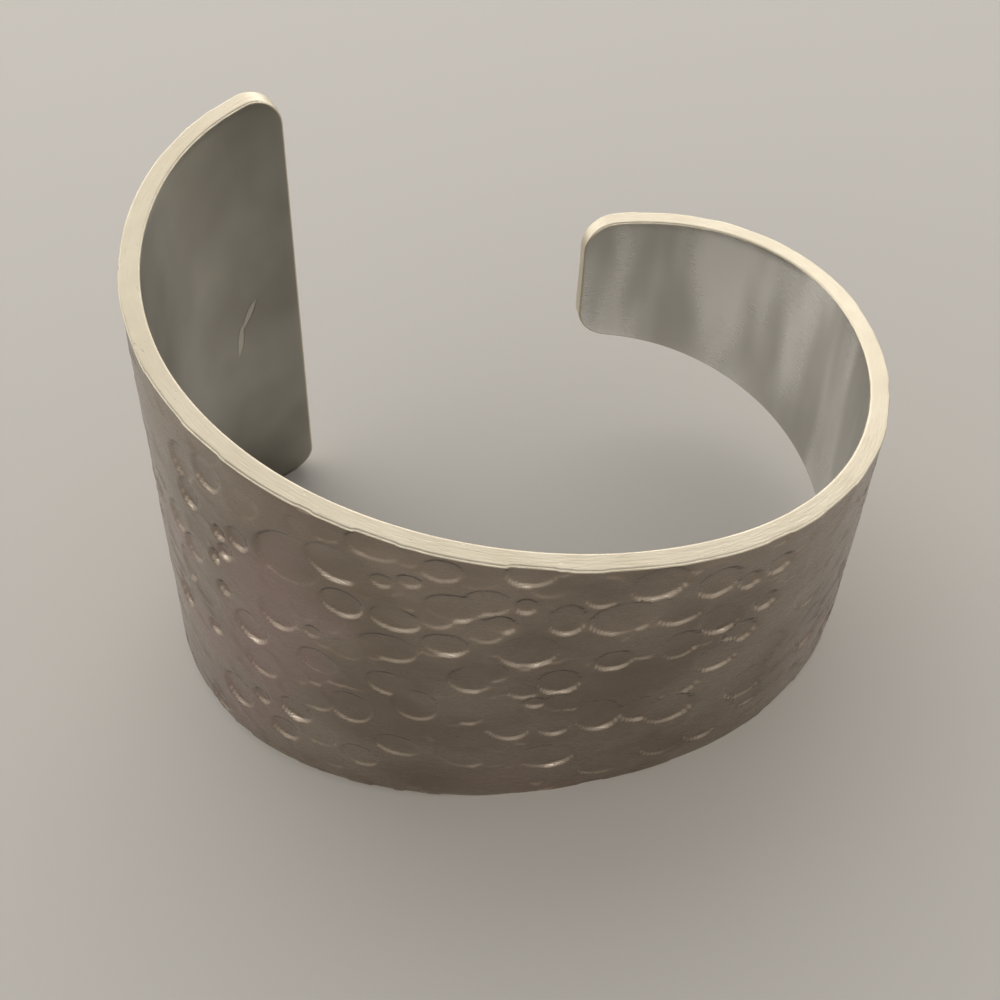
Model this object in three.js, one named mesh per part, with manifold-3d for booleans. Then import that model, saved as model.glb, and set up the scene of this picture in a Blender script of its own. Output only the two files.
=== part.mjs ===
// An open cuff bracelet made of one strip of aluminium sheet. The flat strip is a long
// trapezoid with rounded corners, wide at one end and narrow at the other. It is bent into
// an oval with a gap at the back, and stands on its long lower edge, tipped the way it
// balances by itself. Millimetres, +Z up, +Y towards the gap, +X towards the narrow end's
// side. The origin is on the table, under the middle of the bracelet.
import * as THREE from "three";
import { mergeVertices } from "three/addons/utils/BufferGeometryUtils.js";
import Module from "manifold-3d";

// Driving dimensions of the flat strip.
const STRIP_LENGTH = 147.4; // along the inner face, wide end to narrow end
const WALL = 1.75;
const WIDE_END = 52.7;
const NARROW_END = 14.3;
const WIDE_CORNER = 3.2;
const NARROW_CORNER = 3.5;
const EDGE_ROUND = 0.2; // all round the rim

// The bend: the inner radius at even steps along the strip, 0 at the wide end and 1 at the
// narrow end. Between two rows the curvature changes evenly.
const BENDS = [
  { station: 0, radius: 13.6 },
  { station: 0.125, radius: 23.8 },
  { station: 0.25, radius: 24.7 },
  { station: 0.375, radius: 35.1 },
  { station: 0.5, radius: 45.6 },
  { station: 0.625, radius: 22.4 },
  { station: 0.75, radius: 27.2 },
  { station: 0.875, radius: 19.5 },
  { station: 1, radius: 18.5 },
];

// How far the wall leans outwards for each millimetre of height, at even steps along the
// strip. A smooth curve runs through the rows.
const LEANS = [
  { station: 0, lean: -0.066 },
  { station: 0.25, lean: -0.022 },
  { station: 0.5, lean: 0.032 },
  { station: 0.75, lean: -0.047 },
  { station: 1, lean: 0.009 },
];

// How the bent strip balances: tipped about X and then about Y, in degrees, with small
// flats worn where its lower edge meets the table.
const REST_TIP_X = 7.71;
const REST_TIP_Y = 6.81;
const WEAR_DEPTH = 0.15;

// How finely the faces are cut.
const EDGE_STEPS = 90;
const CORNER_STEPS = 8;
const ROUND_STEPS = 4;
const BEND_LINE_STEPS = 2000;

const TABLE_SIZE = 200; // the block that wears the flats
const TABLE_THICKNESS = 10;

// Half the strip's width at a distance from the wide end.
function halfWidth(distance) {
  return THREE.MathUtils.lerp(WIDE_END, NARROW_END, distance / STRIP_LENGTH) / 2;
}

// The row before a place between 0 and 1 in an evenly spaced table, and how far past it.
function rowBefore(rows, place) {
  const last = rows.length - 1;
  const row = Math.min(Math.max(Math.floor(place * last), 0), last - 1);
  return { row, share: place * last - row };
}

// The curvature at a distance along the strip.
function curvatureAt(distance) {
  const { row, share } = rowBefore(BENDS, distance / STRIP_LENGTH);
  return THREE.MathUtils.lerp(1 / BENDS[row].radius, 1 / BENDS[row + 1].radius, share);
}

// The lean at a distance along the strip: a Catmull-Rom curve through the rows, which runs
// straight on past the first and the last of them.
function leanAt(distance) {
  const { row, share: t } = rowBefore(LEANS, distance / STRIP_LENGTH);
  const [b, c] = [LEANS[row].lean, LEANS[row + 1].lean];
  const a = row > 0 ? LEANS[row - 1].lean : 2 * b - c;
  const d = row + 2 < LEANS.length ? LEANS[row + 2].lean : 2 * c - b;
  const square = (2 * a - 5 * b + 4 * c - d) / 2;
  const cube = (3 * b - a - 3 * c + d) / 2;
  return b + t * ((c - a) / 2 + t * (square + t * cube));
}

// The bend line seen from above: its heading is the integral of the curvature, and its
// points are the integral of the heading. Half the turn comes before +X and half after, so
// the gap opens to +Y. Returns the point and the outward direction at a distance.
function bendLine() {
  const step = STRIP_LENGTH / BEND_LINE_STEPS;
  const headings = [0];
  for (let i = 0; i < BEND_LINE_STEPS; i++) {
    headings.push(headings[i] + curvatureAt((i + 0.5) * step) * step);
  }
  const middle = headings[BEND_LINE_STEPS] / 2;
  const points = [new THREE.Vector2(0, 0)];
  for (let i = 0; i < BEND_LINE_STEPS; i++) {
    const heading = (headings[i] + headings[i + 1]) / 2 - middle;
    const move = new THREE.Vector2(Math.cos(heading), Math.sin(heading));
    points.push(points[i].clone().addScaledVector(move, step));
  }
  return (distance) => {
    const i = Math.min(Math.max(Math.floor(distance / step), 0), BEND_LINE_STEPS - 1);
    const share = distance / step - i;
    const heading = THREE.MathUtils.lerp(headings[i], headings[i + 1], share) - middle;
    const point = points[i].clone().lerp(points[i + 1], share);
    return { point, outwards: new THREE.Vector2(Math.sin(heading), -Math.cos(heading)) };
  };
}

// The upper half of the flat outline, from the wide end to the narrow end: points along and
// across the strip, each with its outward normal. The lower half mirrors it. A corner arc
// touches the end's straight edge and the sloping long edge.
function upperOutline() {
  const tilt = Math.atan((NARROW_END - WIDE_END) / 2 / STRIP_LENGTH);
  const edgeAngle = tilt + Math.PI / 2;
  const corner = (along, radius, from, to) => {
    const across = halfWidth(along) - radius / Math.cos(tilt);
    return Array.from({ length: CORNER_STEPS + 1 }, (_, i) => {
      const angle = THREE.MathUtils.lerp(from, to, i / CORNER_STEPS);
      const normal = new THREE.Vector2(Math.cos(angle), Math.sin(angle));
      const point = new THREE.Vector2(along, across).addScaledVector(normal, radius);
      return { point, normal };
    });
  };
  const wideCorner = corner(WIDE_CORNER, WIDE_CORNER, Math.PI, edgeAngle);
  const narrowCorner = corner(STRIP_LENGTH - NARROW_CORNER, NARROW_CORNER, edgeAngle, 0);
  const start = wideCorner.at(-1);
  const finish = narrowCorner[0];
  const longEdge = Array.from({ length: EDGE_STEPS - 1 }, (_, i) => ({
    point: start.point.clone().lerp(finish.point, (i + 1) / EDGE_STEPS),
    normal: start.normal,
  }));
  return [...wideCorner, ...longEdge, ...narrowCorner];
}

// The bent strip: rings that follow the outline, from the outer face round the rounded rim
// to the inner face, and a face inside the first and the last ring.
function bentStrip() {
  const upper = upperOutline();
  const line = bendLine();
  const positions = [];
  const addRing = (inset, depth) => {
    const flat = (side) =>
      upper.map(({ point, normal }) => {
        const { x, y } = point.clone().addScaledVector(normal, -inset);
        return [x, side * y];
      });
    for (const [along, across] of [...flat(1), ...flat(-1).reverse()]) {
      const { point, outwards } = line(along);
      point.addScaledVector(outwards, depth + leanAt(along) * across);
      positions.push(point.x, point.y, across);
    }
  };
  // Each quarter of the rim's round goes from a face to the edge, by its angle.
  const angles = Array.from({ length: ROUND_STEPS + 1 }, (_, i) => (i / ROUND_STEPS) * (Math.PI / 2));
  const inset = (angle) => EDGE_ROUND * (1 - Math.sin(angle));
  const sunk = (angle) => EDGE_ROUND * (1 - Math.cos(angle));
  for (const angle of angles) {
    addRing(inset(angle), WALL - sunk(angle));
  }
  for (const angle of angles.toReversed()) {
    addRing(inset(angle), sunk(angle));
  }

  const half = upper.length;
  const ring = 2 * half;
  const rings = 2 * angles.length;
  const faces = [];
  const quad = (a, b, c, d) => faces.push(a, c, b, a, d, c);
  for (let r = 0; r < rings - 1; r++) {
    for (let i = 0; i < ring; i++) {
      const j = (i + 1) % ring;
      quad(r * ring + i, (r + 1) * ring + i, (r + 1) * ring + j, r * ring + j);
    }
  }
  const inner = (rings - 1) * ring;
  for (let i = 0; i < half - 1; i++) {
    const [a, b, c, d] = [i, i + 1, ring - 2 - i, ring - 1 - i];
    quad(a, b, c, d);
    quad(inner + d, inner + c, inner + b, inner + a);
  }
  const geometry = new THREE.BufferGeometry();
  geometry.setAttribute("position", new THREE.Float32BufferAttribute(positions, 3));
  geometry.setIndex(faces);
  return geometry;
}

// A closed geometry as a solid that can be cut.
function solidOf(geometry) {
  const bare = new THREE.BufferGeometry();
  bare.setAttribute("position", geometry.getAttribute("position"));
  bare.setIndex(geometry.index);
  const merged = mergeVertices(bare);
  const vertProperties = merged.getAttribute("position").array;
  const triVerts = new Uint32Array(merged.index.array);
  return new wasm.Manifold(new wasm.Mesh({ numProp: 3, vertProperties, triVerts }));
}

// Tips the strip the way it balances, puts its middle over the origin, and wears its lowest
// places flat at the height of the table.
function stand(geometry) {
  geometry.rotateX(THREE.MathUtils.degToRad(REST_TIP_X));
  geometry.rotateY(THREE.MathUtils.degToRad(REST_TIP_Y));
  geometry.computeBoundingBox();
  const { min, max } = geometry.boundingBox;
  geometry.translate(-(min.x + max.x) / 2, -(min.y + max.y) / 2, -min.z - WEAR_DEPTH);
  const table = new THREE.BoxGeometry(TABLE_SIZE, TABLE_SIZE, TABLE_THICKNESS);
  table.translate(0, 0, -TABLE_THICKNESS / 2);
  const worn = solidOf(geometry).subtract(solidOf(table)).getMesh();
  const result = new THREE.BufferGeometry();
  result.setAttribute("position", new THREE.BufferAttribute(worn.vertProperties, 3));
  result.setIndex(new THREE.BufferAttribute(worn.triVerts, 1));
  result.computeVertexNormals();
  return result;
}

const wasm = await Module();
wasm.setup();

const hammeredAluminium = new THREE.MeshStandardMaterial({
  color: 0xc9c7c2,
  roughness: 0.38,
  metalness: 1,
});
const cuffBand = new THREE.Mesh(stand(bentStrip()), hammeredAluminium);
cuffBand.name = "cuff_band";

const cuffBracelet = new THREE.Group();
cuffBracelet.add(cuffBand);
export default cuffBracelet;
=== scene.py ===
"""A hammered aluminium cuff bracelet on a pale floor.

The cuff is one strip of sheet, a long trapezoid with rounded corners, bent into an open oval.
Places on the strip are given flat, in millimetres: along, from the wide end to the narrow
end on the inner face, across, from the strip's centre line, and deep, from the inner face.
"""
import math

import bpy
import numpy as np
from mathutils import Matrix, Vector


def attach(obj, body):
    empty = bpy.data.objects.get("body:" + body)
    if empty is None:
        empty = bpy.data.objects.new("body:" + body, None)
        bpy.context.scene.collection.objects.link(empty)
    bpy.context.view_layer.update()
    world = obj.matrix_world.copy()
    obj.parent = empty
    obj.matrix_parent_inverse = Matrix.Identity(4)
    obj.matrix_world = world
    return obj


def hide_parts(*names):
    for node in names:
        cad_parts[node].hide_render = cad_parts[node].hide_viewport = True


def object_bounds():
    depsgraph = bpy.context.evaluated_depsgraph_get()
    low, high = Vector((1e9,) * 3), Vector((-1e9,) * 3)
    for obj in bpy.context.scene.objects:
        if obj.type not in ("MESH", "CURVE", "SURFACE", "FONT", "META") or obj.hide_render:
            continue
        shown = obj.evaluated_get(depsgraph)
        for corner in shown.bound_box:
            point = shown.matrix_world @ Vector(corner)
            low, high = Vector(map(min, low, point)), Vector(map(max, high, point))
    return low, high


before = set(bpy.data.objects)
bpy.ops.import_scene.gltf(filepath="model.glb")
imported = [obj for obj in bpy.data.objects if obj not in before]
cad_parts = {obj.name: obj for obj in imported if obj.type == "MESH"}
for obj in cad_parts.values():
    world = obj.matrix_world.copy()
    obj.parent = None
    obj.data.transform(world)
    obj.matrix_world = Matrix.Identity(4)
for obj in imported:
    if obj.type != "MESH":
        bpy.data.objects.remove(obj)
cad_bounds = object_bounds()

MM = 0.001

# The strip and its bend, in the solid model's own numbers.
STRIP_LENGTH = 147.4
WALL = 1.75
WIDE_END = 52.7
NARROW_END = 14.3
WIDE_CORNER = 3.2
NARROW_CORNER = 3.5
EDGE_ROUND = 0.2
BEND_RADII = (13.6, 23.8, 24.7, 35.1, 45.6, 22.4, 27.2, 19.5, 18.5)  # evenly spaced along it
LEANS = (-0.066, -0.022, 0.032, -0.047, 0.009)  # outwards for each millimetre across
REST_TIP_X = math.radians(7.71)
REST_TIP_Y = math.radians(6.81)
WEAR_DEPTH = 0.15  # off the places where it meets the floor

# How finely the surfaces are cut. One inner step spans INNER_SHARE steps of the outer face.
EDGE_STEPS = 376
EDGE_CROWDING = 0.5  # how much shorter the shortest step is than the average, as a share
CROWDED_AT = 0.42  # where the shortest step is, as a share of the steps from the wide end
CORNER_STEPS = 12
OUTER_ROWS = 200
INNER_SHARE = 4
INNER_MARGIN = 0.8  # from the inner face's edge to its coarser part
ROUND_STEPS = 3
RIM_GUARD = 0.04  # from each rounding to a ring on the flat beside it, as a share of the flat
BEND_LINE_STEPS = 4000

# Hammer marks on the front, in the order they are struck: along, across, half the length,
# half the height, and the turn in degrees, rising towards the narrow end.
FRONT_MARKS = (
    # struck early and cut by their neighbours
    (60.0, 10.9, 1.6, 1.9, 0), (63.6, 9.4, 1.5, 1.8, 0), (63.7, 13.2, 1.8, 1.7, 0),
    (63.6, 3.4, 2.0, 1.7, 0), (62.3, -2.6, 1.9, 2.6, 0), (66.6, 0.6, 1.3, 1.1, 0),
    (69.5, -1.4, 1.3, 1.5, 0), (69.2, -4.9, 1.6, 2.0, 12), (71.3, 5.2, 0.6, 1.3, 0),
    (52.8, 3.0, 1.6, 1.4, 0), (56.2, -0.4, 2.0, 1.8, -5), (53.0, -14.0, 1.8, 1.7, -5),
    (49.3, -12.6, 1.9, 2.2, 0), (78.6, 4.7, 1.7, 2.0, 0), (78.0, 10.0, 2.1, 2.0, 10),
    (79.3, -11.8, 2.2, 1.8, 8), (82.6, -11.0, 1.8, 2.3, 20), (79.0, -1.4, 2.2, 2.4, 15),
    (93.3, -5.5, 1.8, 2.0, 20), (74.0, -13.5, 2.4, 1.6, 5),
    # over them, in the middle
    (48.8, 12.6, 2.8, 3.2, -35), (52.7, 14.4, 2.5, 2.2, -20), (55.8, 17.9, 2.2, 1.6, -5),
    (47.1, 4.3, 1.8, 2.4, -8), (44.6, -5.0, 1.8, 2.5, -20), (50.2, -0.4, 1.8, 1.8, -12),
    (50.1, 3.8, 0.8, 0.9, 0), (52.7, -6.0, 1.9, 2.5, -8), (56.5, -10.4, 2.1, 1.7, -5),
    (52.9, 9.5, 1.8, 1.8, -15), (56.2, 13.9, 0.95, 0.9, 0), (58.2, 14.6, 1.05, 0.85, 0),
    (60.5, 16.6, 1.6, 1.4, 0), (56.3, 5.0, 2.4, 1.9, 0), (57.0, 9.3, 2.1, 1.6, -5),
    (60.7, 6.9, 1.9, 1.6, -8), (61.3, 12.0, 2.3, 1.8, 0), (62.5, 2.0, 1.8, 1.9, 0),
    (58.2, -3.0, 2.0, 2.4, -3), (61.9, -10.0, 2.4, 2.8, 12), (66.6, 17.0, 1.9, 1.7, 3),
    (66.4, 12.9, 0.9, 1.1, 0), (64.7, 10.3, 1.2, 1.3, 15), (69.4, 10.9, 1.5, 2.2, 0),
    (66.8, 6.6, 2.4, 2.3, 18), (69.3, 1.9, 1.8, 1.9, 0), (67.6, -1.2, 1.0, 0.9, 15),
    (65.6, -4.7, 2.0, 3.0, 6), (68.9, -10.6, 2.6, 2.1, 14), (68.4, -15.2, 0.8, 1.0, 0),
    # over them, towards the narrow end
    (73.6, 10.3, 2.7, 2.2, 5), (75.8, 14.2, 2.3, 2.1, 12), (73.4, 4.3, 1.65, 1.4, 8),
    (72.8, -4.2, 2.0, 2.7, 8), (76.4, -4.4, 1.9, 2.0, 15), (80.6, 12.3, 1.9, 1.8, 15),
    (81.6, 6.8, 1.8, 2.3, 25), (83.8, 3.4, 1.6, 1.7, 5), (82.3, 0.9, 2.1, 2.1, 15),
    (79.0, -5.6, 2.3, 2.2, 30), (86.2, -6.2, 2.1, 2.4, 20), (83.3, 11.0, 1.0, 1.2, 20),
    (85.6, 6.6, 1.1, 1.3, 20), (86.0, 11.2, 1.2, 1.3, 20),
    # struck last, towards the wide end
    (38.4, 15.5, 1.4, 2.2, 0), (38.6, 12.0, 1.2, 1.8, 0), (35.8, 6.4, 1.2, 1.9, 0),
    (36.0, 0.2, 1.3, 2.2, 0), (37.8, 4.3, 1.2, 1.7, 0), (34.0, -6.5, 1.2, 1.8, 0),
    (41.6, 17.0, 1.5, 2.0, 0), (40.6, -13.8, 1.8, 2.4, 0), (43.8, -0.6, 1.7, 2.2, 0),
    (37.0, -19.8, 1.5, 1.5, -30), (43.6, -11.6, 0.9, 1.2, 0), (47.3, -10.4, 1.7, 1.8, -20),
    (45.8, -14.9, 1.5, 1.7, -15), (41.9, 10.2, 0.7, 1.0, 0), (44.0, 11.3, 1.1, 1.4, 0),
    (40.9, 6.4, 0.6, 1.1, 0), (42.3, 8.2, 0.8, 1.2, -20), (41.3, 2.4, 0.7, 1.1, 0),
    (38.8, -5.8, 0.9, 1.1, -30),
)

# The other marks are scattered all over before them, the shallowest first.
SCATTERED_MARKS = 900
SCATTER_SEED = 7
SCATTER_PAST_EDGE = 1.06  # as a share of the half width
SCATTERED_HALF_SIZES = (1.1, 2.3)
LENGTH_SHARES = (0.75, 1.05)  # of the half size
HEIGHT_SHARES = (0.9, 1.2)
SCATTERED_TURN = 30  # degrees either way
SCATTERED_DEPTHS = (0.01, 0.11)
FRONT_DEPTHS = (0.14, 0.3)
DEPTH_SPREAD = 0.03  # either way, on the front
MARK_WALL = 0.22  # how wide a mark's side is, from its floor to its edge
MARK_TILT = 0.03  # how steeply a mark's floor may slope, either way
LOWER_BITE = 0.022  # how much deeper a mark's floor gets for each millimetre down
WAVE_DEPTH = 0.02  # of the slow waves under the marks, either way
LEAST_DEPTH = 0.01  # keeps the outer face just inside the plain strip's
FULL_SLOPE = 0.5  # of a mark's side that counts as turned all the way up

INNER_WAVE = 0.0075  # of each of the inner face's two sets of waves, either way

# The studio, in metres where a name doesn't say otherwise.
FLOOR_SIZE = 3.0
FLOOR_COLOR = (0.55, 0.53, 0.50, 1)
ROOM_COLOR = (1.0, 0.97, 0.93, 1)
ROOM_LOW_STRENGTH = 1.8
ROOM_HIGH_STRENGTH = 0.3
ROOM_CHANGE = (0.3, 0.7)  # the heights it changes between, 0 level and 1 overhead
CAMERA_PLACE = Vector((-17.5, -93.2, 107.6)) * MM
CAMERA_TURN = (44.74, 7.31, -17.39)  # degrees about X, Y and Z
CAMERA_LENS = 50.47  # millimetres, on a sensor 36 mm wide


# The strip's flat outline and its bend

def half_width(along):
    """Half the strip's width: it falls evenly from the wide end's to the narrow end's."""
    return np.interp(along, (0, STRIP_LENGTH), (WIDE_END / 2, NARROW_END / 2))


def lean(along):
    """The wall's lean: a Catmull-Rom curve through LEANS, straight past its ends."""
    rows = np.array([2 * LEANS[0] - LEANS[1], *LEANS, 2 * LEANS[-1] - LEANS[-2]])
    place = np.clip(along / STRIP_LENGTH, 0, 1) * (len(LEANS) - 1)
    row = np.minimum(place.astype(int), len(LEANS) - 2)
    t = place - row
    a, b, c, d = (rows[row + k] for k in range(4))
    square = (2 * a - 5 * b + 4 * c - d) / 2
    cube = (3 * b - a - 3 * c + d) / 2
    return b + t * ((c - a) / 2 + t * (square + t * cube))


def bend_line():
    """Points and headings along the bend line seen from above.

    The curvature runs evenly between the rows of BEND_RADII. The heading is its integral,
    less half the whole turn, and the point is the integral of the heading's direction.
    """
    step = STRIP_LENGTH / BEND_LINE_STEPS
    stations = np.linspace(0, STRIP_LENGTH, len(BEND_RADII))
    middles = (np.arange(BEND_LINE_STEPS) + 0.5) * step
    curvature = np.interp(middles, stations, 1 / np.array(BEND_RADII))
    heading = np.concatenate([[0], np.cumsum(curvature * step)])
    heading -= heading[-1] / 2
    mid_heading = (heading[1:] + heading[:-1]) / 2
    x = np.concatenate([[0], np.cumsum(np.cos(mid_heading) * step)])
    y = np.concatenate([[0], np.cumsum(np.sin(mid_heading) * step)])
    return x, y, heading


BEND_X, BEND_Y, BEND_HEADING = bend_line()


def bent(along, across, deep):
    """Flat places on the strip, bent: the bend line's point, pushed outwards by the depth
    and the lean, and raised by the distance across."""
    stations = np.linspace(0, STRIP_LENGTH, BEND_LINE_STEPS + 1)
    heading = np.interp(along, stations, BEND_HEADING)
    outwards = deep + lean(along) * across
    x = np.interp(along, stations, BEND_X) + np.sin(heading) * outwards
    y = np.interp(along, stations, BEND_Y) - np.cos(heading) * outwards
    return np.stack(np.broadcast_arrays(x, y, across), axis=-1)


def tipped(points):
    """Points turned about X and then about Y, the way the cuff balances."""
    cos_x, sin_x = math.cos(REST_TIP_X), math.sin(REST_TIP_X)
    cos_y, sin_y = math.cos(REST_TIP_Y), math.sin(REST_TIP_Y)
    about_x = np.array([[1, 0, 0], [0, cos_x, -sin_x], [0, sin_x, cos_x]])
    about_y = np.array([[cos_y, 0, sin_y], [0, 1, 0], [-sin_y, 0, cos_y]])
    return points @ (about_y @ about_x).T


def upper_outline():
    """The flat outline's upper half from the wide end to the narrow end, and its outward
    normals: an arc, a straight long edge and an arc. The lower half mirrors it. The long
    edge's even steps are shifted by a sine, which crowds them in front."""
    tilt = math.atan((NARROW_END - WIDE_END) / 2 / STRIP_LENGTH)
    edge_angle = tilt + math.pi / 2

    def corner(centre, radius, start, stop):
        angles = np.linspace(start, stop, CORNER_STEPS + 1)
        normals = np.stack([np.cos(angles), np.sin(angles)], axis=1)
        middle = np.array([centre, half_width(centre) - radius / math.cos(tilt)])
        return middle + radius * normals, normals

    wide, wide_normals = corner(WIDE_CORNER, WIDE_CORNER, math.pi, edge_angle)
    narrow, narrow_normals = corner(STRIP_LENGTH - NARROW_CORNER, NARROW_CORNER, edge_angle, 0)
    even = np.linspace(0, 1, EDGE_STEPS + 1)[1:-1, None]
    turn = 2 * math.pi
    swing = np.sin(turn * (even - CROWDED_AT)) + math.sin(turn * CROWDED_AT)
    share = even - EDGE_CROWDING * swing / turn
    edge = wide[-1] * (1 - share) + narrow[0] * share
    edge_normals = np.repeat(wide_normals[-1:], len(edge), axis=0)
    normals = np.vstack([wide_normals, edge_normals, narrow_normals])
    return np.vstack([wide, edge, narrow]), normals


# Hammer marks

def mark_table(rng):
    """Every mark in the order it is struck, as rows of along, across, half length, half
    height, turn and depth: the scattered ones, ever deeper, and then those on the front."""
    count = SCATTERED_MARKS
    size = rng.uniform(*SCATTERED_HALF_SIZES, count)
    along = rng.uniform(-1, STRIP_LENGTH + 1, count)
    scattered = np.column_stack([
        along,
        rng.uniform(-SCATTER_PAST_EDGE, SCATTER_PAST_EDGE, count) * half_width(along),
        size * rng.uniform(*LENGTH_SHARES, count),
        size * rng.uniform(*HEIGHT_SHARES, count),
        rng.uniform(-SCATTERED_TURN, SCATTERED_TURN, count),
        np.linspace(*SCATTERED_DEPTHS, count),
    ])
    front = np.array(FRONT_MARKS)
    front_depths = np.linspace(*FRONT_DEPTHS, len(front))
    front_depths += rng.uniform(-DEPTH_SPREAD, DEPTH_SPREAD, len(front))
    return np.vstack([scattered, np.column_stack([front, front_depths])])


def hammered(along, across):
    """How far each place of a grid is driven in. It starts with slow waves, the product of
    two sines. Each mark is an oval with a shallow dish for a floor, a parabola tilted so
    that it bites most below, and steep sides. It wipes out what lies under it: the depth
    inside becomes its own, and blends over MARK_WALL to the outside."""
    rng = np.random.default_rng(SCATTER_SEED)
    depth = WAVE_DEPTH * (1 + np.sin(along / 5.3) * np.sin(across / 4.1 + along / 9.7))
    for s, z, half_length, half_height, turn, floor_depth in mark_table(rng):
        tilt_s, tilt_z = rng.uniform(-MARK_TILT, MARK_TILT, 2)
        reach = max(half_length, half_height)
        first, last = np.searchsorted(along[:, 0], (s - reach, s + reach))
        ds, dz = along[first:last] - s, across[first:last] - z
        cos, sin = math.cos(math.radians(turn)), math.sin(math.radians(turn))
        radius = np.hypot((ds * cos + dz * sin) / half_length, (dz * cos - ds * sin) / half_height)
        inside = np.clip((1 - radius) * min(half_length, half_height) / MARK_WALL, 0, 1)
        inside = inside * inside * (3 - 2 * inside)
        dish = floor_depth * (1.1 - 0.3 * radius**2)
        floor = dish + tilt_s * ds + (tilt_z - LOWER_BITE) * dz
        depth[first:last] += inside * (floor - depth[first:last])
    return np.maximum(depth, LEAST_DEPTH)


def facing_up(depth, across):
    """How far the sides of the marks face up, from -1 to 1: the slope of the depth across
    the strip, as a share of FULL_SLOPE."""
    slope = np.gradient(depth, axis=1) / np.gradient(across, axis=1)
    return np.clip(slope / FULL_SLOPE, -1, 1)


# The band

def face_grid(outline, normals, inset, rows):
    """A grid of flat places inside the outline: each column joins a lower and an upper
    outline point, moved in by the inset, in even steps."""
    edge = outline - inset * normals
    along = np.repeat(edge[:, :1], rows + 1, axis=1)
    return along, edge[:, 1:] * np.linspace(-1, 1, rows + 1)


def boundary(grid):
    """The values round the edge of a grid, anticlockwise from its first corner."""
    return np.concatenate([grid[:, 0], grid[-1, 1:], grid[-2::-1, -1], grid[0, -2:0:-1]])


def grid_quads(numbers):
    """The quads of a grid of vertex numbers, facing outwards."""
    corners = numbers[:-1, :-1], numbers[1:, :-1], numbers[1:, 1:], numbers[:-1, 1:]
    return np.column_stack([corner.ravel() for corner in corners])


def loop_quads(outside, inside):
    """The quads between two closed loops of vertex numbers."""
    return np.column_stack([outside, inside, np.roll(inside, -1), np.roll(outside, -1)])


def fan_triangles(fine, coarse):
    """The triangles between a fine closed loop and a coarse one inside it: in each coarse
    step the first half of the fine edges meets its start, and the rest its end."""
    step = np.arange(len(fine))
    near = step // INNER_SHARE + (step % INNER_SHARE >= INNER_SHARE // 2)
    to_corners = np.column_stack([fine, coarse[near % len(coarse)], np.roll(fine, -1)])
    halfway = fine[INNER_SHARE // 2 :: INNER_SHARE]
    return np.vstack([to_corners, np.column_stack([halfway, coarse, np.roll(coarse, -1)])])


def inner_depth(along, across):
    """The inner face's slight waves: the sum of two sines, raised so that it only sinks."""
    waves = np.sin(along / 1.9 + across / 13) + np.sin(along / 3.1 - across / 9)
    return INNER_WAVE * (2 + waves)


def rim_rings():
    """The rim's rings, each as how far it is from the edge, how far it is sunk below its
    face, and its share of the outer face: a quarter round, the flat and a quarter round."""
    angles = np.arange(1, ROUND_STEPS + 1) / ROUND_STEPS * math.pi / 2
    inset = EDGE_ROUND * (1 - np.sin(angles))
    sunk = EDGE_ROUND * (1 - np.cos(angles))
    flat = [(0, EDGE_ROUND, 1 - RIM_GUARD), (0, EDGE_ROUND, RIM_GUARD)]
    back_inset, back_sunk = [*inset[-2::-1], EDGE_ROUND], [*sunk[-2::-1], 0]
    outer = list(zip(inset, sunk, [1] * ROUND_STEPS))
    inner = [(0, EDGE_ROUND, 0), *zip(back_inset, back_sunk, [0] * ROUND_STEPS)]
    return outer + flat + inner


def plain_rim():
    """Flat places all round the rim of the strip before the hammer touches it."""
    outline, normals = upper_outline()
    places = []
    for inset, sunk, share in [(EDGE_ROUND, 0, 1), *rim_rings()]:
        ring_s, ring_z = (boundary(g) for g in face_grid(outline, normals, inset, OUTER_ROWS))
        ring_deep = np.full_like(ring_s, share * (WALL - sunk) + (1 - share) * sunk)
        places.append(np.column_stack([ring_s, ring_z, ring_deep]))
    return np.vstack(places)


def band_surface():
    """The band as one closed surface: the hammered outer grid, the rim's rings, and a
    coarser inner grid joined on by fans. Returns each vertex's flat place and how far the
    marks turn it up, and the groups of faces with each group's finish: 0 for the outer
    face, 1 for the rim and 2 for the inner face."""
    outline, normals = upper_outline()
    outer_s, outer_z = face_grid(outline, normals, EDGE_ROUND, OUTER_ROWS)
    driven_in = hammered(outer_s, outer_z)
    outer_deep = WALL - driven_in
    places = [np.stack([outer_s, outer_z, outer_deep], axis=-1).reshape(-1, 3)]
    outer_numbers = np.arange(outer_s.size).reshape(outer_s.shape)
    faces = [grid_quads(outer_numbers)]
    finishes = [0]

    edge_deep = boundary(outer_deep)
    loop = boundary(outer_numbers)
    count = outer_s.size
    for inset, sunk, share in rim_rings():
        ring_s, ring_z = (boundary(g) for g in face_grid(outline, normals, inset, OUTER_ROWS))
        inner_side = sunk + inner_depth(ring_s, ring_z)
        ring_deep = share * (edge_deep - sunk) + (1 - share) * inner_side
        places.append(np.column_stack([ring_s, ring_z, ring_deep]))
        ring = count + np.arange(len(loop))
        faces.append(loop_quads(loop, ring))
        finishes.append(1)
        loop = ring
        count += len(loop)

    shared = np.s_[::INNER_SHARE]
    inner_s, inner_z = face_grid(
        outline[shared], normals[shared], EDGE_ROUND + INNER_MARGIN, OUTER_ROWS // INNER_SHARE
    )
    inner_numbers = count + np.arange(inner_s.size).reshape(inner_s.shape)
    inner_places = [inner_s, inner_z, inner_depth(inner_s, inner_z)]
    places.append(np.stack(inner_places, axis=-1).reshape(-1, 3))
    faces += [fan_triangles(loop, boundary(inner_numbers)), grid_quads(inner_numbers)[:, ::-1]]
    finishes += [2, 2]
    places = np.vstack(places)
    turned_up = np.zeros(len(places))
    turned_up[: outer_s.size] = facing_up(driven_in, outer_z).ravel()
    return places, turned_up, faces, finishes


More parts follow.
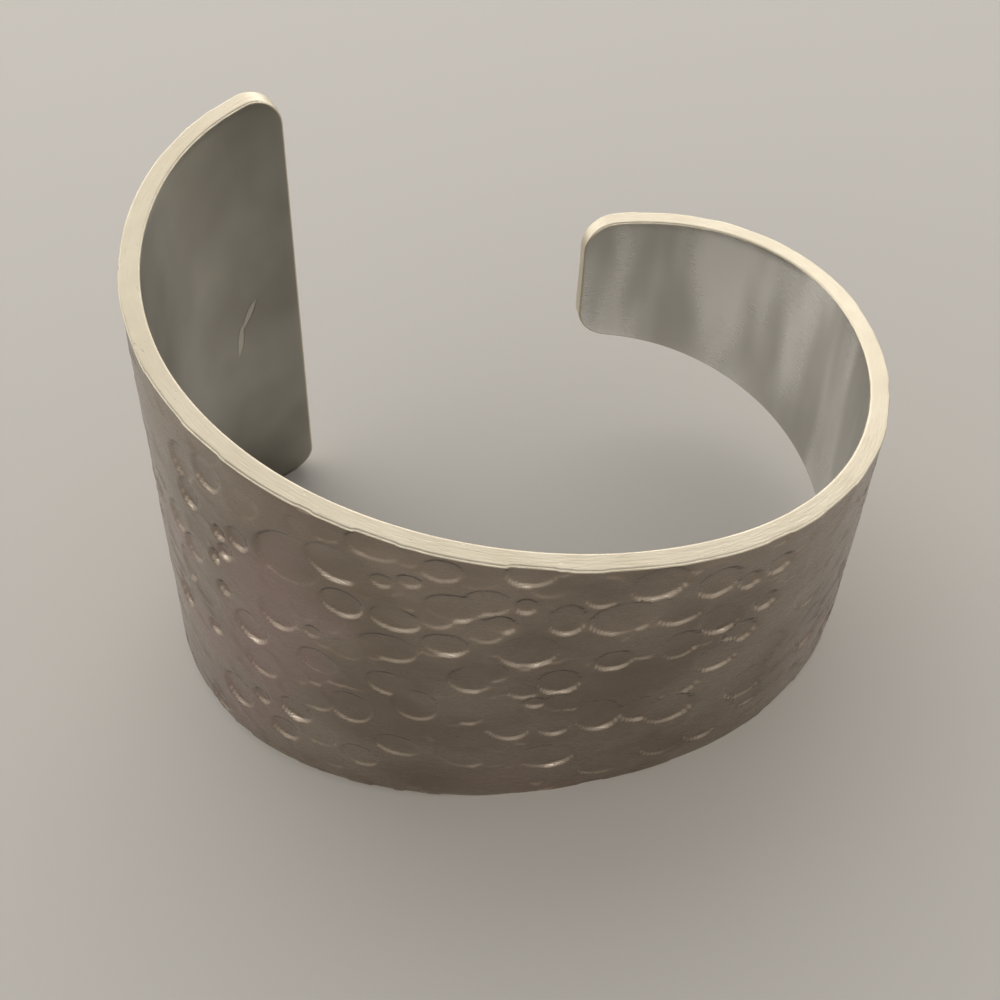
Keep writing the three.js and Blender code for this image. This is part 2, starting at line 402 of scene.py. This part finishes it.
def make_band(finishes):
    """The band as an object: its flat places bent, tipped and set in the middle of the
    solid model's box, with its lowest places worn flat at the floor. The mesh keeps its
    flat places and how far the marks turn it up, for the finishes."""
    places, turned_up, faces, face_finishes = band_surface()
    points = tipped(bent(*places.T))
    unworn = tipped(bent(*plain_rim().T))
    low, high = (np.array(corner) / MM for corner in cad_bounds)
    points[:, :2] += (low + high)[:2] / 2 - (unworn.min(axis=0) + unworn.max(axis=0))[:2] / 2
    points[:, 2] -= unworn[:, 2].min() + WEAR_DEPTH
    points[:, 2] = np.maximum(points[:, 2], 0)
    mesh = bpy.data.meshes.new("cuff")
    mesh.from_pydata(points * MM, [], [face for group in faces for face in group.tolist()])
    counts = [len(group) for group in faces]
    mesh.polygons.foreach_set("material_index", np.repeat(face_finishes, counts).astype(np.int32))
    mesh.polygons.foreach_set("use_smooth", np.ones(sum(counts), bool))
    mesh.attributes.new("flat_place", "FLOAT_VECTOR", "POINT")
    mesh.attributes["flat_place"].data.foreach_set("vector", places.astype(np.float32).ravel())
    mesh.attributes.new("turned_up", "FLOAT", "POINT")
    mesh.attributes["turned_up"].data.foreach_set("value", turned_up.astype(np.float32))
    for finish in finishes:
        mesh.materials.append(finish)
    mesh.validate()
    cuff = bpy.data.objects.new("cuff", mesh)
    bpy.context.scene.collection.objects.link(cuff)
    return cuff


# Finishes

class Value:
    """A number in a finish's nodes. Arithmetic on it adds Math nodes."""

    def __init__(self, finish, socket):
        self.finish = finish
        self.socket = socket

    def math(self, operation, *others):
        """The result of a Math node on this value and the others."""
        return self.finish.node("Math", {"operation": operation}, self, *others)

    def __add__(self, other):
        return self.math("ADD", other)

    def __mul__(self, other):
        return self.math("MULTIPLY", other)

    def __sub__(self, other):
        return self.math("SUBTRACT", other)

    def __rsub__(self, other):
        return self.finish.node("Math", {"operation": "SUBTRACT"}, other, self)

    __radd__ = __add__
    __rmul__ = __mul__

    def between(self, low, high):
        """0 below low, 1 above high and smooth between."""
        settings = {"interpolation_type": "SMOOTHSTEP"}
        return self.finish.node("MapRange", settings, self, low, high, 0.0, 1.0)


class Finish:
    """A metal finish on the band, made of nodes."""

    def __init__(self, name):
        self.material = bpy.data.materials.new(name)
        self.material.use_nodes = True
        self.tree = self.material.node_tree
        self.shader = self.tree.nodes["Principled BSDF"]
        self.shader.inputs["Metallic"].default_value = 1.0
        place = self.tree.nodes.new("ShaderNodeAttribute")
        place.attribute_name = "flat_place"
        self.place = place.outputs["Vector"]

    def node(self, kind, settings, *values, output=0, **named):
        """Adds a shader node. Its settings come first, then its sockets in order or by
        name, as numbers, colours or links. Returns one of its outputs."""
        made = self.tree.nodes.new("ShaderNode" + kind)
        for setting, value in settings.items():
            setattr(made, setting, value)
        for key, value in [*enumerate(values), *named.items()]:
            self.set(made.inputs[key], value)
        return Value(self, made.outputs[output])

    def set(self, socket, value):
        """Gives a socket a constant or a link."""
        source = getattr(value, "socket", value)
        if isinstance(source, bpy.types.NodeSocket):
            self.tree.links.new(source, socket)
        else:
            socket.default_value = source

    def noise(self, swings, detail=2.0, roughness=0.5):
        """Smooth noise from 0 to 1, with about so many swings for each millimetre along
        the strip, across it and through it."""
        scaled = self.node("VectorMath", {"operation": "MULTIPLY"}, self.place, swings)
        sockets = {"Vector": scaled, "Scale": 1.0, "Detail": detail, "Roughness": roughness}
        return self.node("TexNoise", {}, **sockets)

    def axis(self, index):
        """The flat place's distance along the strip (0) or across it (1)."""
        return self.node("SeparateXYZ", {}, self.place, output=index)

    def turned_up(self):
        """How far the marks turn the face up, from -1 where they turn it down to 1."""
        return self.node("Attribute", {"attribute_name": "turned_up"}, output="Fac")

    def dent(self, along, across, half_length, half_height, turn):
        """1 inside a turned oval and 0 outside it, smooth between."""
        ds, dz = self.axis(0) - along, self.axis(1) - across
        cos, sin = math.cos(math.radians(turn)), math.sin(math.radians(turn))
        long_way = (cos / half_length) * ds + (sin / half_length) * dz
        short_way = (cos / half_height) * dz - (sin / half_height) * ds
        return 1.0 - (long_way * long_way + short_way * short_way).between(0.3, 1.0)

    def mix(self, share, first, second):
        """One colour turning into another by a share."""
        made = self.node("Mix", {"data_type": "RGBA"}, share, output=2)
        mixer = made.socket.node
        self.set(mixer.inputs[6], first)
        self.set(mixer.inputs[7], second)
        return made

    def surface(self, color, roughness, height, depth):
        """Gives the shader its colour and roughness, and a bump from a height, of which 1
        stands for a depth in millimetres. Returns the material."""
        self.set(self.shader.inputs["Base Color"], color)
        self.set(self.shader.inputs["Roughness"], roughness)
        bump = self.node("Bump", {}, Strength=1.0, Distance=depth * MM, Height=height)
        self.set(self.shader.inputs["Normal"], bump)
        return self.material


def hammered_finish():
    """The outer face: cloudy, with fine lengthwise scratches, rosy patches and specks. Its
    marks' sides get painted highlight where they face up and painted shade where they face down."""
    # Darker and browner than the bare metal: partly painted shade and reflection of the shadowed
    # floor in front of it, over the metal's cloudy tone.
    dull, bright = (0.25, 0.202, 0.16, 1), (0.35, 0.295, 0.24, 1)
    rosy, speck = (0.35, 0.26, 0.235, 1), (0.20, 0.17, 0.14, 1)
    painted_highlight, painted_shade = (0.66, 0.57, 0.48, 1), (0.08, 0.062, 0.05, 1)
    finish = Finish("hammered face")
    scratches = finish.noise((0.3, 4.0, 1.0), detail=3.0, roughness=0.65)
    clouds = finish.noise((0.1, 0.12, 0.5), detail=3.0)
    patches = finish.noise((0.07, 0.09, 0.3), detail=1.0).between(0.5, 0.68)
    specks = finish.noise((3.5, 3.5, 1.0), detail=2.0).between(0.66, 0.74)
    turned_up = finish.turned_up()
    turned_down = 0.0 - turned_up
    color = finish.mix(clouds.between(0.3, 0.7), dull, bright)
    color = finish.mix(0.8 * patches, color, rosy)
    color = finish.mix(0.35 * specks, color, speck)
    # painted highlight on the sides of the marks that face up, and painted shade on those that
    # face down
    color = finish.mix(0.65 * turned_up.between(0.15, 1.0), color, painted_highlight)
    color = finish.mix(0.8 * turned_down.between(0.1, 0.8), color, painted_shade)
    roughness = 0.17 + 0.14 * scratches + 0.05 * clouds
    return finish.surface(color, roughness, scratches - 0.4 * specks, 0.012)


def rim_finish():
    """The rim: filed bright, with fine lengthwise streaks and nicks."""
    dull, bright = (0.56, 0.50, 0.385, 1), (0.69, 0.635, 0.52, 1)
    finish = Finish("filed rim")
    streaks = finish.noise((0.25, 4.0, 5.0), detail=3.0, roughness=0.6)
    clouds = finish.noise((0.35, 0.35, 0.35), detail=2.0)
    nicks = finish.noise((1.6, 1.6, 2.6), detail=2.0).between(0.68, 0.73)
    color = finish.mix(clouds, dull, bright)
    return finish.surface(color, 0.34 + 0.16 * streaks, streaks - 0.7 * nicks, 0.03)


def inner_finish():
    """The inner face: smooth and cloudy, with painted reflections in brighter upright stripes
    towards the narrow end, and a small scar of two strokes beside the wide end."""
    dull, bright = (0.33, 0.315, 0.275, 1), (0.43, 0.415, 0.37, 1)
    painted_reflection_color, scar_color = (0.95, 0.94, 0.92, 1), (0.92, 0.88, 0.78, 1)
    finish = Finish("inner face")
    streaks = finish.noise((0.3, 5.0, 1.0), detail=3.0, roughness=0.6)
    clouds = finish.noise((0.1, 0.08, 1.0), detail=2.0)
    reflection_bands = finish.noise((0.14, 0.03, 1.0), detail=2.0).between(0.36, 0.66)
    towards_narrow = (finish.axis(0) - 95.0).between(0.0, 25.0)
    scar = finish.dent(5.6, 1.9, 2.0, 0.5, -58) + finish.dent(6.9, -0.8, 2.3, 0.5, -80)
    color = finish.mix(clouds.between(0.3, 0.7), dull, bright)
    # painted reflection: near-white upright stripes towards the narrow end
    color = finish.mix(towards_narrow * (0.35 + 0.65 * reflection_bands), color, painted_reflection_color)
    color = finish.mix(0.35 * scar, color, scar_color)
    roughness = 0.22 + 0.1 * streaks + 0.1 * clouds - 0.08 * towards_narrow * reflection_bands
    return finish.surface(color, roughness, 0.08 * streaks - scar, 0.1)


# The studio

def make_floor():
    """A square of pale board under the cuff, as one flat face."""
    corners = np.array([(-1, -1), (1, -1), (1, 1), (-1, 1)]) * FLOOR_SIZE / 2
    mesh = bpy.data.meshes.new("floor")
    mesh.from_pydata(np.column_stack([corners, np.zeros(4)]), [], [(0, 1, 2, 3)])
    material = bpy.data.materials.new("pale board")
    material.use_nodes = True
    shader = material.node_tree.nodes["Principled BSDF"]
    shader.inputs["Base Color"].default_value = FLOOR_COLOR
    shader.inputs["Roughness"].default_value = 0.9
    mesh.materials.append(material)
    floor = bpy.data.objects.new("floor", mesh)
    bpy.context.scene.collection.objects.link(floor)


def make_softbox(name, azimuth, elevation, distance, size, power, color):
    """A square light aimed at the cuff. Azimuth 0 is behind it and 90 is to its right."""
    light = bpy.data.lights.new(name, "AREA")
    light.size = size
    light.energy = power
    light.color = color
    softbox = bpy.data.objects.new(name, light)
    turn, rise = math.radians(azimuth), math.radians(elevation)
    level = math.cos(rise)
    direction = Vector((math.sin(turn) * level, math.cos(turn) * level, math.sin(rise)))
    softbox.location = direction * distance
    softbox.rotation_euler = direction.to_track_quat("Z", "Y").to_euler()
    bpy.context.scene.collection.objects.link(softbox)


def make_room_light():
    """Light from all round, of one strength near the horizon and another overhead."""
    world = bpy.data.worlds.new("room")
    world.use_nodes = True
    tree = world.node_tree
    direction = tree.nodes.new("ShaderNodeTexCoord")
    height = tree.nodes.new("ShaderNodeSeparateXYZ")
    strength = tree.nodes.new("ShaderNodeMapRange")
    strength.interpolation_type = "SMOOTHSTEP"
    strength.inputs["From Min"].default_value = ROOM_CHANGE[0]
    strength.inputs["From Max"].default_value = ROOM_CHANGE[1]
    strength.inputs["To Min"].default_value = ROOM_LOW_STRENGTH
    strength.inputs["To Max"].default_value = ROOM_HIGH_STRENGTH
    background = tree.nodes["Background"]
    background.inputs["Color"].default_value = ROOM_COLOR
    tree.links.new(direction.outputs["Generated"], height.inputs["Vector"])
    tree.links.new(height.outputs["Z"], strength.inputs["Value"])
    tree.links.new(strength.outputs["Result"], background.inputs["Strength"])
    bpy.context.scene.world = world


def make_camera():
    """The camera, above and in front of the cuff, looking down on it."""
    data = bpy.data.cameras.new("camera")
    data.lens = CAMERA_LENS
    data.sensor_width = 36
    data.clip_start = 0.005
    camera = bpy.data.objects.new("camera", data)
    camera.location = CAMERA_PLACE
    camera.rotation_euler = [math.radians(angle) for angle in CAMERA_TURN]
    bpy.context.scene.collection.objects.link(camera)
    bpy.context.scene.camera = camera


make_camera()
make_floor()
make_room_light()
make_softbox("window", 8, 50, distance=0.8, size=1.1, power=3.6, color=(1.0, 0.97, 0.92))

cuff = make_band([hammered_finish(), rim_finish(), inner_finish()])
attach(cuff, "root")
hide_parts("cuff_band")

bpy.context.scene.view_settings.view_transform = "Standard"
